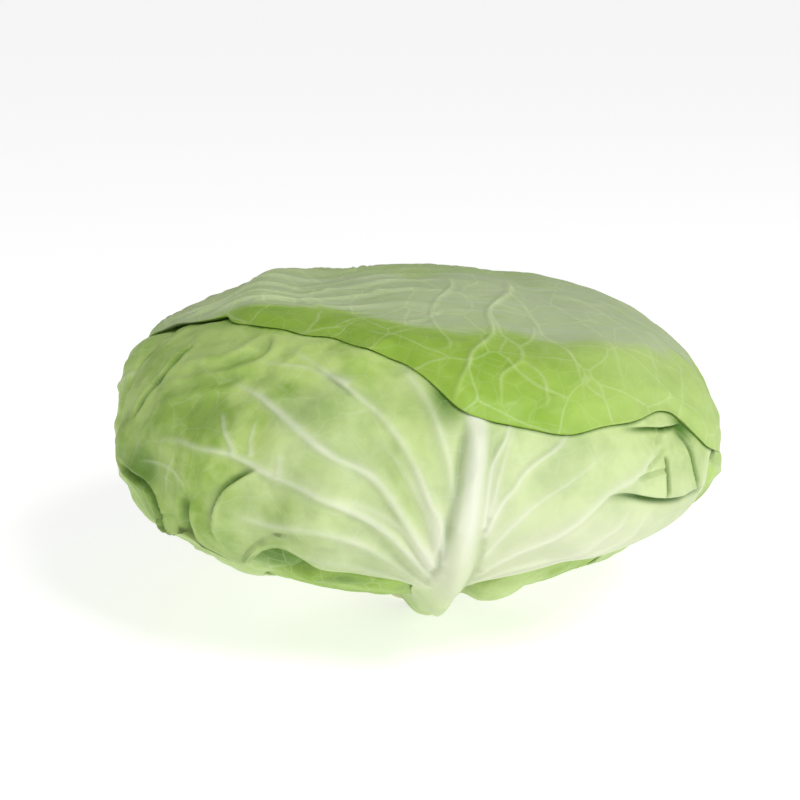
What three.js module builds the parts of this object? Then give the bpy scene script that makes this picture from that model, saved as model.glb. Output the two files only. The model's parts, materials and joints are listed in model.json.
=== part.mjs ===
// A flat-headed white cabbage, as cut and set down on its stalk.
//
// The packed inner head is one solid. Six wrapper leaves lie on it in layers: two low leaves,
// a left and a right leaf, the broad front leaf, and the top leaf, which grows up the back and
// folds over the crown. Each leaf is a closed shell. Every layer is a radial offset from the
// inner head's surface, seen from the head's middle, so that a layer never meets the one below.
//
// Frame: millimetres, +Z up, -Y to the front, origin at the middle of the stalk's cut face.
// A direction is (theta, beta): theta turns from the front towards +X, and beta rises from
// straight down (0) through the widest level (90) to straight up (180).
import * as THREE from "three";

// Sizes of the packed inner head.
const HEAD_WIDTH = 222;
const HEAD_DEPTH = 211;
const CROWN_RISE = 55; // from the widest level up to the crown
const BELLY_DROP = 50; // from the widest level down to the underside
const CROWN_POWER = 2.4; // above 2 is fuller than an ellipse
const BELLY_POWER = 2.15;
const THREE_LOBES = { size: 0.012, from: 0.6 }; // shallow waves round the plan outline
const FIVE_LOBES = { size: 0.008, from: 2 };

// Sizes of the leaves.
const BLADE = 2.0;
const LEAF_GAP = 1.3; // air between one leaf and the next
const MARGIN_KEEP = 6; // degrees that a leaf stays up past the margin of a leaf under it
const MARGIN_RAMP = 12; // degrees over which it then settles down
const TOP_LEAF_LIFT = 4; // how far the top leaf's left margin stands off
const LIFT_AT = { theta: -84, beta: 118 };
const LIFT_SPREAD = { theta: 26, beta: 12 };
const RIB_BASE = 7; // the front leaf's midrib over its blade, at the stalk
const RIB_END = 0.8; // and at its far end
const RIB_HALF_WIDTH_BASE = 11;
const RIB_HALF_WIDTH_END = 5;
const SIDE_RIB = 0.35; // the left, right and top leaves' midribs, over the front leaf's
const DRAPE_WIDTH = 2; // a leaf bulges this many times as wide as the midrib under it

// Sizes of the stalk.
const STALK_RADIUS = 15;
const STALK_BEVEL = 1.2;
const STALK_SIDES = 40;
const FOOT = 0.6; // the front leaf's midrib ends this far above the cut face

const LAYERS_UNDER_FRONT_LEAF = 2;
const STALK_LENGTH =
  LEAF_GAP + LAYERS_UNDER_FRONT_LEAF * (BLADE + LEAF_GAP) + BLADE + RIB_BASE + FOOT;
const WIDEST_Z = STALK_LENGTH + BELLY_DROP;

const LEAF_GREEN = 0xa9c46c;
const PALE_GREEN = 0xcfdcae;
const STALK_CREAM = 0xe4e2c4;

const NEAR_STALK = 15; // the beta near which every leaf leaves the stalk
const HEAD_COLUMNS = 36;
const HEAD_ROWS = 18;

const rad = THREE.MathUtils.degToRad;
const deg = THREE.MathUtils.radToDeg;
const smoothstep = THREE.MathUtils.smoothstep;

/** A smooth curve through [x, y] points in rising x, level past both ends. */
function through(points) {
  const slope = points.map((p, i) => {
    const before = points[i - 1];
    const after = points[i + 1];
    return before && after ? (after[1] - before[1]) / (after[0] - before[0]) : 0;
  });
  return (x) => {
    const last = points.length - 1;
    if (x <= points[0][0]) return points[0][1];
    if (x >= points[last][0]) return points[last][1];
    const i = points.findIndex((p) => p[0] > x) - 1;
    const width = points[i + 1][0] - points[i][0];
    const t = (x - points[i][0]) / width;
    const rise = t * t * (3 - 2 * t);
    return (
      points[i][1] * (1 - rise) +
      points[i + 1][1] * rise +
      width * t * (1 - t) * (slope[i] * (1 - t) - slope[i + 1] * t)
    );
  };
}

function direction(theta, beta) {
  const flat = Math.sin(rad(beta));
  return new THREE.Vector3(
    flat * Math.sin(rad(theta)),
    -flat * Math.cos(rad(theta)),
    -Math.cos(rad(beta)),
  );
}

/** The difference of two headings in degrees, from -180 to 180. */
const turn = (a, b) => ((((a - b + 180) % 360) + 360) % 360) - 180;

/** The inner head's radius in a direction: a superellipse of each heading's own width. */
function headRadius(d) {
  const theta = Math.atan2(d.x, -d.y);
  const plan =
    1 /
    Math.hypot(Math.sin(theta) / (HEAD_WIDTH / 2), Math.cos(theta) / (HEAD_DEPTH / 2));
  const lobes =
    1 +
    THREE_LOBES.size * Math.sin(3 * theta + THREE_LOBES.from) +
    FIVE_LOBES.size * Math.sin(5 * theta + FIVE_LOBES.from);
  const power = d.z > 0 ? CROWN_POWER : BELLY_POWER;
  const rise = d.z > 0 ? CROWN_RISE : BELLY_DROP;
  const across = Math.hypot(d.x, d.y) / (plan * lobes);
  return (across ** power + (Math.abs(d.z) / rise) ** power) ** (-1 / power);
}

/** 1 inside a margin and a little past it, falling to 0 over the ramp. */
const covers = (inside) => smoothstep(inside, -MARGIN_KEEP - MARGIN_RAMP, -MARGIN_KEEP);

/** A midrib's height over the blade: far is 0 at the stalk and 1 at the rib's end. */
function ribHeight(across, far) {
  const grown = 1 - smoothstep(far, 0, 0.8);
  const height = RIB_END + (RIB_BASE - RIB_END) * grown;
  const halfWidth = RIB_HALF_WIDTH_END + (RIB_HALF_WIDTH_BASE - RIB_HALF_WIDTH_END) * grown;
  return height * Math.exp(-((across / halfWidth) ** 2));
}

/**
 * A leaf that grows up from the stalk. middle, left and right give its midrib's heading and how
 * far it reaches to each side, in degrees, for each beta; top gives the beta of its upper margin
 * for each heading measured from the midrib. ribScale is its midrib's height over the front
 * leaf's, or 0 for none.
 */
function risingLeaf({ middle, left, right, top, ribScale }) {
  const reach = (side, beta) => (side < 0 ? left(beta) : right(beta));
  return {
    inside(theta, beta) {
      const off = turn(theta, middle(beta));
      const spare = (reach(off, beta) - Math.abs(off)) * Math.sin(rad(beta));
      return Math.min(spare, top(off) - beta);
    },
    rib(theta, beta, radius, widen = 1) {
      const across = rad(turn(theta, middle(beta))) * radius * Math.sin(rad(beta));
      return ribScale * ribHeight(across / widen, beta / top(0));
    },
    heading: (u, beta) => middle(beta) + u * reach(u, beta),
    top: (u) => top(u * reach(u, 90)),
  };
}

const frontLeaf = risingLeaf({
  middle: through([[15, 13], [50, 11], [73, 7], [90, 8], [110, 11]]),
  left: through([[15, 42], [30, 24], [66, 13], [75, 22], [81, 50], [88, 60], [100, 74], [112, 80], [126, 90]]),
  right: through([[15, 42], [30, 26], [62, 14], [72, 26], [79, 44], [90, 52], [105, 54]]),
  top: through([[-90, 131], [-40, 131], [0, 122], [50, 112]]),
  ribScale: 1,
});
const leftLeaf = risingLeaf({
  middle: through([[15, -105], [90, -108]]),
  left: through([[15, 42], [40, 45], [80, 58]]),
  right: through([[15, 42], [40, 46], [62, 60], [84, 88]]),
  top: through([[-60, 120], [0, 134], [90, 118]]),
  ribScale: SIDE_RIB,
});
const rightLeaf = risingLeaf({
  middle: through([[15, 112], [90, 108]]),
  left: through([[15, 42], [40, 45], [70, 56], [85, 76]]),
  right: through([[15, 38], [40, 45], [80, 60]]),
  top: through([[-80, 112], [0, 132], [60, 120]]),
  ribScale: SIDE_RIB,
});
const lowLeftLeaf = risingLeaf({
  middle: through([[15, -34], [80, -34]]),
  left: through([[15, 34], [60, 40]]),
  right: through([[15, 34], [60, 36]]),
  top: through([[-40, 88], [0, 98], [36, 90]]),
  ribScale: 0,
});
const lowRightLeaf = risingLeaf({
  middle: through([[15, 42], [80, 42]]),
  left: through([[15, 34], [60, 34]]),
  right: through([[15, 34], [60, 38]]),
  top: through([[-34, 88], [0, 96], [38, 86]]),
  ribScale: 0,
});

/** The top leaf's margin: the beta that it reaches down to, by heading. It grows up the back. */
const topMargin = through([
  [-180, 15], [-165, 22], [-150, 39], [-132, 61], [-114, 85], [-99, 105], [-86, 118],
  [-58, 127], [-26, 124], [-6, 119], [3, 110], [16, 107], [30, 103.5], [44, 104],
  [56, 101], [62, 95], [78, 91], [100, 86], [125, 70], [145, 46], [162, 24], [180, 15],
]);
/** The plan position of the top leaf's midrib, across for each place from front to back. */
const topRibX = through([[-95, 13], [-43, 28], [0, 33], [60, 24], [110, 6]]);
const topLeaf = {
  inside: (theta, beta) => beta - topMargin(theta),
  rib(theta, beta, radius) {
    const place = direction(theta, beta).multiplyScalar(radius);
    const folded = beta > 90 ? topRibX(place.y) : topRibX(110) * Math.sin(rad(beta));
    const behind = smoothstep(place.y, -110, 110);
    const far = beta > 90 ? 1 - 0.35 * behind : 0.65 * (beta / 90);
    return beta > 90 || place.y > 0 ? SIDE_RIB * ribHeight(place.x - folded, far) : 0;
  },
};

/** How far the top leaf's left margin stands off what it lies on. */
function topLift(theta, beta) {
  const along = turn(theta, LIFT_AT.theta) / LIFT_SPREAD.theta;
  const across = (beta - LIFT_AT.beta) / LIFT_SPREAD.beta;
  return TOP_LEAF_LIFT * Math.exp(-(along ** 2) - across ** 2);
}

/** The radii of a leaf's two faces in a direction, over the leaves it lies on. */
function faces(leaf, theta, beta) {
  let radius = headRadius(direction(theta, beta)) + LEAF_GAP;
  for (const under of leaf.lies_on) {
    const cover = covers(under.shape.inside(theta, beta));
    radius += cover * (BLADE + LEAF_GAP + under.shape.rib(theta, beta, radius, DRAPE_WIDTH));
  }
  radius += leaf.lift ? leaf.lift(theta, beta) : 0;
  return { inner: radius, outer: radius + BLADE + leaf.shape.rib(theta, beta, radius) };
}

// The leaves from the inside out. Each lists the leaves it lies on, and its grid's size.
const LOW_LEFT = { name: "low_left_leaf", shape: lowLeftLeaf, lies_on: [], columns: 14, rows: 12 };
const LOW_RIGHT = { name: "low_right_leaf", shape: lowRightLeaf, lies_on: [], columns: 14, rows: 12 };
const LEFT = { name: "left_leaf", shape: leftLeaf, lies_on: [LOW_LEFT], columns: 26, rows: 18 };
const RIGHT = { name: "right_leaf", shape: rightLeaf, lies_on: [LOW_RIGHT], columns: 26, rows: 18 };
const FRONT = {
  name: "front_leaf",
  shape: frontLeaf,
  lies_on: [LOW_LEFT, LOW_RIGHT, LEFT, RIGHT],
  columns: 32,
  rows: 30,
};
const TOP = {
  name: "top_leaf",
  shape: topLeaf,
  lies_on: [LOW_LEFT, LOW_RIGHT, LEFT, RIGHT, FRONT],
  lift: topLift,
  columns: 72,
  rows: 20,
};

const FLATNESS = HEAD_WIDTH / (CROWN_RISE + BELLY_DROP);

/** The beta a share of the way between two, in steps that close up round the widest level. */
function between(low, high, share) {
  const evened = (beta) => Math.atan2(Math.sin(rad(beta)), FLATNESS * Math.cos(rad(beta)));
  const angle = evened(low) + (evened(high) - evened(low)) * share;
  return deg(Math.atan2(FLATNESS * Math.sin(angle), Math.cos(angle)));
}

const at = (theta, beta, radius) => direction(theta, beta).multiplyScalar(radius);

/** The beta where a leaf's inner face clears the stalk, found by stepping to it. */
function baseBeta(leaf, theta) {
  let beta = NEAR_STALK;
  for (let step = 0; step < 8; step++) {
    const { inner } = faces(leaf, theta, beta);
    beta = deg(Math.asin((STALK_RADIUS + LEAF_GAP) / inner));
  }
  return beta;
}

/** The two triangles of a quad, parted along its shorter diagonal. */
function quad(points, a, b, c, d) {
  const alongAC = points[a].distanceTo(points[c]) < points[b].distanceTo(points[d]);
  return alongAC ? [a, b, c, a, c, d] : [a, b, d, b, c, d];
}

/** A closed solid from triangles that index a list of points. */
function solid(points, triangles, name, color) {
  const geometry = new THREE.BufferGeometry();
  geometry.setFromPoints(points);
  geometry.setIndex(triangles);
  const shown = geometry.toNonIndexed();
  shown.computeVertexNormals();
  const material = new THREE.MeshStandardMaterial({ color, roughness: 0.45, metalness: 0 });
  const mesh = new THREE.Mesh(shown, material);
  mesh.name = name;
  mesh.position.z = WIDEST_Z;
  return mesh;
}

/** Both faces and the rim of a leaf laid out as a grid of rows from the stalk to its far margin. */
function risingLeafMesh(leaf, color) {
  const { columns, rows, shape } = leaf;
  const outer = [];
  const inner = [];
  for (let j = 0; j <= rows; j++) {
    for (let i = 0; i <= columns; i++) {
      const u = (2 * i) / columns - 1;
      let low = NEAR_STALK;
      for (let step = 0; step < 3; step++) low = baseBeta(leaf, shape.heading(u, low));
      const beta = between(low, shape.top(u), j / rows);
      const theta = shape.heading(u, beta);
      const face = faces(leaf, theta, beta);
      outer.push(at(theta, beta, face.outer));
      inner.push(at(theta, beta, face.inner));
    }
  }
  const points = [...outer, ...inner];
  const behind = outer.length;
  const width = columns + 1;
  const triangles = [];
  for (let j = 0; j < rows; j++) {
    for (let i = 0; i < columns; i++) {
      const a = j * width + i;
      const d = a + width;
      triangles.push(...quad(points, a, a + 1, d + 1, d));
      triangles.push(...quad(points, behind + a, behind + d, behind + d + 1, behind + a + 1));
    }
  }
  const rim = [];
  for (let i = 0; i < columns; i++) rim.push(i);
  for (let j = 0; j < rows; j++) rim.push(j * width + columns);
  for (let i = columns; i > 0; i--) rim.push(rows * width + i);
  for (let j = rows; j > 0; j--) rim.push(j * width);
  rim.forEach((a, k) => {
    const b = rim[(k + 1) % rim.length];
    triangles.push(...quad(points, a, behind + a, behind + b, b));
  });
  return solid(points, triangles, leaf.name, color);
}

/** The top leaf, laid out in rings about the crown out to its margin. */
function topLeafMesh(leaf, color) {
  const { columns, rows } = leaf;
  const outer = [];
  const inner = [];
  const add = (theta, beta) => {
    const face = faces(leaf, theta, beta);
    outer.push(at(theta, beta, face.outer));
    inner.push(at(theta, beta, face.inner));
  };
  add(0, 180);
  for (let j = 1; j <= rows; j++) {
    for (let i = 0; i < columns; i++) {
      const theta = (360 * i) / columns - 180;
      const margin = Math.max(topMargin(theta), baseBeta(leaf, theta));
      add(theta, between(180, margin, j / rows));
    }
  }
  const points = [...outer, ...inner];
  const behind = outer.length;
  const ring = (j, i) => 1 + (j - 1) * columns + (i % columns);
  const triangles = [];
  for (let i = 0; i < columns; i++) {
    triangles.push(0, ring(1, i), ring(1, i + 1));
    triangles.push(behind, behind + ring(1, i + 1), behind + ring(1, i));
    for (let j = 1; j < rows; j++) {
      const [a, b, c, d] = [ring(j, i), ring(j + 1, i), ring(j + 1, i + 1), ring(j, i + 1)];
      triangles.push(...quad(points, a, b, c, d));
      triangles.push(...quad(points, behind + a, behind + d, behind + c, behind + b));
    }
    const a = ring(rows, i);
    const b = ring(rows, i + 1);
    triangles.push(...quad(points, a, behind + a, behind + b, b));
  }
  return solid(points, triangles, leaf.name, color);
}

/** The packed inner head, a closed solid above the stalk. */
function innerHeadMesh() {
  const points = [new THREE.Vector3(0, 0, -BELLY_DROP)];
  for (let j = 1; j < HEAD_ROWS; j++) {
    for (let i = 0; i < HEAD_COLUMNS; i++) {
      const theta = (360 * i) / HEAD_COLUMNS;
      const beta = between(0, 180, j / HEAD_ROWS);
      points.push(at(theta, beta, headRadius(direction(theta, beta))));
    }
  }
  points.push(new THREE.Vector3(0, 0, CROWN_RISE));
  const crown = points.length - 1;
  const ring = (j, i) => 1 + (j - 1) * HEAD_COLUMNS + (i % HEAD_COLUMNS);
  const triangles = [];
  for (let i = 0; i < HEAD_COLUMNS; i++) {
    triangles.push(0, ring(1, i + 1), ring(1, i));
    triangles.push(crown, ring(HEAD_ROWS - 1, i), ring(HEAD_ROWS - 1, i + 1));
    for (let j = 1; j < HEAD_ROWS - 1; j++) {
      triangles.push(ring(j, i), ring(j, i + 1), ring(j + 1, i + 1));
      triangles.push(ring(j, i), ring(j + 1, i + 1), ring(j + 1, i));
    }
  }
  return solid(points, triangles, "inner_head", PALE_GREEN);
}

/** The cut stalk, from its flat cut face up to just under the inner head. */
function stalkMesh() {
  const top = STALK_LENGTH - LEAF_GAP;
  const profile = [
    [0, 0],
    [STALK_RADIUS - STALK_BEVEL, 0],
    [STALK_RADIUS, STALK_BEVEL],
    [STALK_RADIUS, top],
    [0, top],
  ].map(([x, y]) => new THREE.Vector2(x, y));
  const geometry = new THREE.LatheGeometry(profile, STALK_SIDES);
  geometry.rotateX(Math.PI / 2);
  const material = new THREE.MeshStandardMaterial({
    color: STALK_CREAM,
    roughness: 0.7,
    metalness: 0,
  });
  const mesh = new THREE.Mesh(geometry, material);
  mesh.name = "stalk";
  return mesh;
}

const cabbage = new THREE.Group();
cabbage.add(stalkMesh(), innerHeadMesh());
for (const leaf of [LOW_LEFT, LOW_RIGHT, LEFT, RIGHT]) cabbage.add(risingLeafMesh(leaf, LEAF_GREEN));
cabbage.add(risingLeafMesh(FRONT, PALE_GREEN), topLeafMesh(TOP, LEAF_GREEN));

export default cabbage;
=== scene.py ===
"""A flat-headed white cabbage on its cut stalk: its wrapper leaves, inner head, floor, light and camera.

Lengths inside the script are millimetres, and meshes are written in metres. A direction from the head's
middle is (theta, beta) in degrees: theta turns from the front (-Y) towards +X, and beta rises from straight
down (0) through the widest level (90) to straight up (180). A leaf is a radial height over the inner head.
The smooth faces of leaves that lie over each other are laid out with a gap. The veins, swells and settled
margins added to those faces aren't held apart, and in places they reach into the leaf next to them.
"""
import itertools
import json
import math

import bpy
import numpy as np
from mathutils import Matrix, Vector


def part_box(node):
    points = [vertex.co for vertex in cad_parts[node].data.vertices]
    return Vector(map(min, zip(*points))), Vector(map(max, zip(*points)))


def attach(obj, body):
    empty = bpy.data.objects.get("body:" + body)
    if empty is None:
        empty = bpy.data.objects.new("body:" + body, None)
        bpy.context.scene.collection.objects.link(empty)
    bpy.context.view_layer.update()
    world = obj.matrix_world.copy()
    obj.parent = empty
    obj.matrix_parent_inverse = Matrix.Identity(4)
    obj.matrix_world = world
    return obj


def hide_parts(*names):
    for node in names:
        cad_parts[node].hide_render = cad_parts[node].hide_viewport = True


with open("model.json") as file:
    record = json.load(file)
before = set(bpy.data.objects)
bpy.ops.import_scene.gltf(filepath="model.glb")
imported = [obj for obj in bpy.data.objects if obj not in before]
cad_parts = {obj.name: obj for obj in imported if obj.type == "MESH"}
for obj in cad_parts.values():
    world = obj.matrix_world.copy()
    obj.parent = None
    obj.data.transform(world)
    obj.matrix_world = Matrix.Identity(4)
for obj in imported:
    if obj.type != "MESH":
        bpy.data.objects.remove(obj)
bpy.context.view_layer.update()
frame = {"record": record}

MM = 0.001

# The inner head, as in the part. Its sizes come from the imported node.
HEAD_LOW, HEAD_HIGH = (np.array(corner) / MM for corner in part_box("inner_head"))
HEAD_WIDTH, HEAD_DEPTH, HEAD_HEIGHT = HEAD_HIGH - HEAD_LOW
BELLY_SHARE = 50 / 105  # of the head's height that is below the widest level
BELLY_DROP = HEAD_HEIGHT * BELLY_SHARE
CROWN_RISE = HEAD_HEIGHT - BELLY_DROP
WIDEST_Z = HEAD_LOW[2] + BELLY_DROP
CROWN_POWER = 2.4
BELLY_POWER = 2.15

# The leaves, as in the part.
BLADE = 2.0
LEAF_GAP = 1.3
MARGIN_KEEP = 2.5
MARGIN_RAMP = 10
RIB_BASE = 7
RIB_END = 0.8
RIB_HALF_WIDTH_BASE = 10
RIB_HALF_WIDTH_END = 4.5
RIB_ROUNDNESS = 2.8  # 2 is a bell, and more has a flatter top and steeper sides
SIDE_RIB = 0.35
DRAPE_WIDTH = 2
TOP_RIB_BACK = 110  # how far back the top leaf's midrib comes over the crown
STALK_RADIUS = 15
NEAR_STALK = 15

# What the leaves have here and the part's leaves don't.
EDGE_THICKNESS = 0.9  # a real leaf's thickness, at its margin
EDGE_DROP = 1.9  # how far a margin settles onto what is under it
TOP_EDGE_DROP = 2.3
EDGE_REACH = 5  # degrees in from the margin over which it does
LIP = 0.35  # how far the rounded rim stands out, over the thickness
COARSE = 3  # the inner face has a vertex for every third of the outer face's


# Curves and noise

def smoothstep(x, low, high):
    share = np.clip((x - low) / (high - low), 0, 1)
    return share * share * (3 - 2 * share)


def through(points):
    """A smooth curve through [x, y] points in rising x, level past both ends."""
    xs, ys = np.array(points, float).T
    slope = np.zeros(len(xs))
    slope[1:-1] = (ys[2:] - ys[:-2]) / (xs[2:] - xs[:-2])

    def curve(x):
        x = np.clip(x, xs[0], xs[-1])
        i = np.clip(np.searchsorted(xs, x, side="right") - 1, 0, len(xs) - 2)
        width = xs[i + 1] - xs[i]
        t = (x - xs[i]) / width
        rise = t * t * (3 - 2 * t)
        bend = width * t * (1 - t) * (slope[i] * (1 - t) - slope[i + 1] * t)
        return ys[i] * (1 - rise) + ys[i + 1] * rise + bend

    return curve


def random_at(cells, seed):
    """A number from 0 to 1 for each whole-number cell, the same on every run."""
    x, y, z = (cells[..., axis].astype(np.int64) for axis in range(3))
    mixed = (x * 73856093) ^ (y * 19349663) ^ (z * 83492791) ^ (seed * 40503)
    mixed = (mixed ^ (mixed >> 13)) * 1274126177 & 0xFFFFFFFF
    mixed = (mixed ^ (mixed >> 16)) * 668265263 & 0xFFFFFFFF
    return (mixed ^ (mixed >> 15)) / 0xFFFFFFFF


def noise(points, size, seed):
    """Smooth noise from -1 to 1, with features of about size mm."""
    places = points / size
    cell = np.floor(places)
    share = places - cell
    share = share ** 3 * (share * (share * 6 - 15) + 10)
    total = np.zeros(points.shape[:-1])
    for corner in itertools.product((0, 1), repeat=3):
        weight = np.prod(np.where(corner, share, 1 - share), axis=-1)
        total += weight * random_at(cell + corner, seed)
    return 2 * total - 1


def layered_noise(points, size, seed, layers=3):
    turned = points @ np.array([[0.8, 0.6, 0], [-0.6, 0.8, 0], [0, 0, 1]]).T
    return sum(noise(turned, size / 2 ** k, seed + k) / 2 ** k for k in range(layers)) / 1.5


def net(points, size, seed):
    """Distance in mm to the nearest border between random cells of about size mm."""
    places = points / size
    cell = np.floor(places)
    nearest = np.full(points.shape[:-1], 9.0)
    second = nearest.copy()
    for offset in itertools.product((-1, 0, 1), repeat=3):
        site = cell + offset
        jitter = np.stack([random_at(site, seed + axis) for axis in range(3)], -1)
        distance = np.linalg.norm(places - site - 0.1 - 0.8 * jitter, axis=-1)
        second = np.minimum(second, np.maximum(nearest, distance))
        nearest = np.minimum(nearest, distance)
    return (second - nearest) * size / 2


# The head's shape

def direction(theta, beta):
    theta, beta = np.radians(theta), np.radians(beta)
    flat = np.sin(beta)
    return np.stack([flat * np.sin(theta), -flat * np.cos(theta), -np.cos(beta)], -1)


def turn(a, b):
    """The difference of two headings in degrees, from -180 to 180."""
    return (a - b + 180) % 360 - 180


def bump(theta, beta, at, spread):
    across = turn(theta, at[0]) * np.sin(np.radians(beta)) / spread[0]
    return np.exp(-across ** 2 - ((beta - at[1]) / spread[1]) ** 2)


# Where the head is fuller (or, below 0, flatter) than the even shape: place, spread in degrees, mm.
FULLNESS = [
    ((-105, 136), (11, 7), 4.5),
    ((-84, 123), (12, 6), -3.5),
    ((-92, 108), (14, 8), 5.0),
    ((-78, 86), (18, 16), -3.5),
    ((165, 150), (30, 14), 3.0),
    ((30, 160), (40, 16), 2.0),
    ((58, 74), (26, 8), -7.0),
    ((-50, 74), (16, 6), -4.0),
    ((88, 90), (14, 7), 2.0),
    ((5, 72), (30, 7), -2.0),
]
UNEVEN = 1.3  # mm, over the whole head
UNEVEN_SIZE = 46


def head_radius(theta, beta):
    turned = np.radians(theta)
    plan = 1 / np.hypot(np.sin(turned) / (HEAD_WIDTH / 2), np.cos(turned) / (HEAD_DEPTH / 2))
    lobes = 1 + 0.012 * np.sin(3 * turned + 0.6) + 0.008 * np.sin(5 * turned + 2)
    height = -np.cos(np.radians(beta))
    above = height > 0
    power = np.where(above, CROWN_POWER, BELLY_POWER)
    rise = np.where(above, CROWN_RISE, BELLY_DROP)
    across = np.sin(np.radians(beta)) / (plan * lobes)
    even = (across ** power + (np.abs(height) / rise) ** power) ** (-1 / power)
    uneven = UNEVEN * noise(direction(theta, beta) * 100, UNEVEN_SIZE, 17)
    return even + uneven + sum(amount * bump(theta, beta, at, spread) for at, spread, amount in FULLNESS)


def between(low, high, share):
    """The beta a share of the way between two, in steps that close up round the widest level."""
    flatness = HEAD_WIDTH / HEAD_HEIGHT

    def evened(beta):
        return np.arctan2(np.sin(np.radians(beta)), flatness * np.cos(np.radians(beta)))

    angle = evened(low) + (evened(high) - evened(low)) * share
    return np.degrees(np.arctan2(flatness * np.sin(angle), np.cos(angle)))


# Where each leaf lies

def rib_height(across, far):
    grown = 1 - smoothstep(far, 0, 0.8)
    height = RIB_END + (RIB_BASE - RIB_END) * grown
    half_width = RIB_HALF_WIDTH_END + (RIB_HALF_WIDTH_BASE - RIB_HALF_WIDTH_END) * grown
    return height * np.exp(-(np.abs(across / half_width) ** RIB_ROUNDNESS))


class RisingLeaf:
    """A leaf that grows up from the stalk. middle is its midrib's heading, and left and right are its reach
    in degrees to each side, for each beta. top is the beta of its upper margin, for each heading off the
    midrib."""

    def __init__(self, middle, left, right, top, rib_scale, lobes=()):
        self.middle, self.left, self.right = through(middle), through(left), through(right)
        self.upper, self.rib_scale = through(top), rib_scale
        self.lobes = lobes  # where its lower margin hangs down, how widely, and by how much

    def reach(self, side, beta):
        return np.where(side < 0, self.left(beta), self.right(beta))

    def inside(self, theta, beta):
        off = turn(theta, self.middle(beta))
        spare = (self.reach(off, beta) - np.abs(off)) * np.sin(np.radians(beta))
        return np.minimum(spare, self.upper(off) - beta)

    def rib(self, theta, beta, radius, widen=1):
        off = np.radians(turn(theta, self.middle(beta)))
        across = off * radius * np.sin(np.radians(beta))
        return self.rib_scale * rib_height(across / widen, beta / self.upper(0))

    def grid(self, leaf):
        rows, columns = leaf["grid"]
        u = np.broadcast_to(np.linspace(-1, 1, columns + 1), (rows + 1, columns + 1))
        share = np.broadcast_to(np.linspace(0, 1, rows + 1)[:, None], u.shape)
        low = np.full(u.shape, float(NEAR_STALK))
        for _ in range(3):
            low = base_beta(leaf, self.middle(low) + u * self.reach(u, low))
        beta = between(low, self.upper(u * self.reach(u, 90)), share)
        theta = self.middle(beta) + u * self.reach(u, beta)
        self.own_inside = self.inside(theta, beta)
        hang = sum(amount * bump(theta, beta, at, spread) for at, spread, amount in self.lobes)
        return theta, beta - hang


class TopLeaf:
    """The leaf that grows up the back and folds over the crown. margin is the beta that it reaches down to,
    and rib_x the place of its midrib across the crown, from front to back."""

    def __init__(self, margin, rib_x):
        self.smooth_margin, self.rib_x = through(margin), through(rib_x)

    def margin(self, theta):
        waves = np.sin(np.radians(theta * 13 + 50)) + 0.7 * np.sin(np.radians(theta * 23))
        return self.smooth_margin(theta) + 0.35 * waves

    def inside(self, theta, beta):
        return beta - self.margin(theta)

    def rib(self, theta, beta, radius, widen=1):
        place = direction(theta, beta) * np.asarray(radius)[..., None]
        at_the_back = self.rib_x(TOP_RIB_BACK) * np.sin(np.radians(beta))
        folded = np.where(beta > 90, self.rib_x(place[..., 1]), at_the_back)
        behind = smoothstep(place[..., 1], -TOP_RIB_BACK, TOP_RIB_BACK)
        far = np.where(beta > 90, 1 - 0.35 * behind, 0.65 * beta / 90)
        there = (beta > 90) | (place[..., 1] > 0)
        return there * SIDE_RIB * rib_height((place[..., 0] - folded) / widen, far)

    def grid(self, leaf):
        """A square grid pressed into a disc about the crown."""
        rows, columns = leaf["grid"]
        v, u = np.meshgrid(np.linspace(1, -1, rows + 1), np.linspace(-1, 1, columns + 1), indexing="ij")
        wide = np.abs(u) > np.abs(v)
        with np.errstate(divide="ignore", invalid="ignore"):
            angle = np.where(wide, 45 * v / u, 90 - 45 * u / v)
        angle = np.where(np.abs(u) + np.abs(v) == 0, 0, angle)
        span = np.where(wide, u, v)
        theta = turn(np.where(span < 0, angle + 180, angle) + 90, 0)
        margin = np.maximum(self.margin(theta), base_beta(leaf, theta))
        beta = between(180.0, margin, np.abs(span))
        self.own_inside = beta - margin
        return theta, beta


FRONT = RisingLeaf(
    middle=[[15, 10], [50, 6.5], [68, 4.5], [76, 6], [90, 8.2], [110, 11.8]],
    left=[
        [15, 42], [30, 24], [58, 6.8], [70, 5.8], [74, 8], [78, 23], [82, 33], [84, 44], [85.5, 61],
        [88, 72], [91, 79], [100, 86], [112, 91], [126, 98],
    ],
    right=[
        [15, 42], [30, 26], [58, 6.8], [70, 5.8], [73, 8], [76, 22], [78, 34], [80, 48], [85, 56],
        [90, 56], [105, 56],
    ],
    top=[[-90, 131], [-40, 131], [0, 122], [50, 112]],
    rib_scale=1,
    lobes=[((-38, 83), (7, 10), 9.0), ((-53, 84), (5, 9), 6.0), ((-24, 83), (5, 9), -2.2)],
)
LEFT = RisingLeaf(
    middle=[[15, -105], [90, -108]],
    left=[[15, 42], [40, 45], [80, 58]],
    right=[[15, 42], [40, 46], [62, 60], [84, 88]],
    top=[[-60, 120], [0, 134], [90, 118]],
    rib_scale=SIDE_RIB,
)
RIGHT = RisingLeaf(
    middle=[[15, 112], [90, 108]],
    left=[[15, 42], [40, 45], [70, 56], [85, 76]],
    right=[[15, 38], [40, 45], [80, 60]],
    top=[[-80, 112], [0, 132], [60, 120]],
    rib_scale=SIDE_RIB,
)
LOW_LEFT = RisingLeaf(
    middle=[[15, -34], [80, -34]],
    left=[[15, 34], [60, 40]],
    right=[[15, 34], [60, 36]],
    top=[[-40, 88], [0, 98], [36, 90]],
    rib_scale=0,
)
LOW_RIGHT = RisingLeaf(
    middle=[[15, 42], [80, 42]],
    left=[[15, 34], [60, 34]],
    right=[[15, 34], [60, 38]],
    top=[[-34, 88], [0, 96], [38, 86]],
    rib_scale=0,
)
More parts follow.
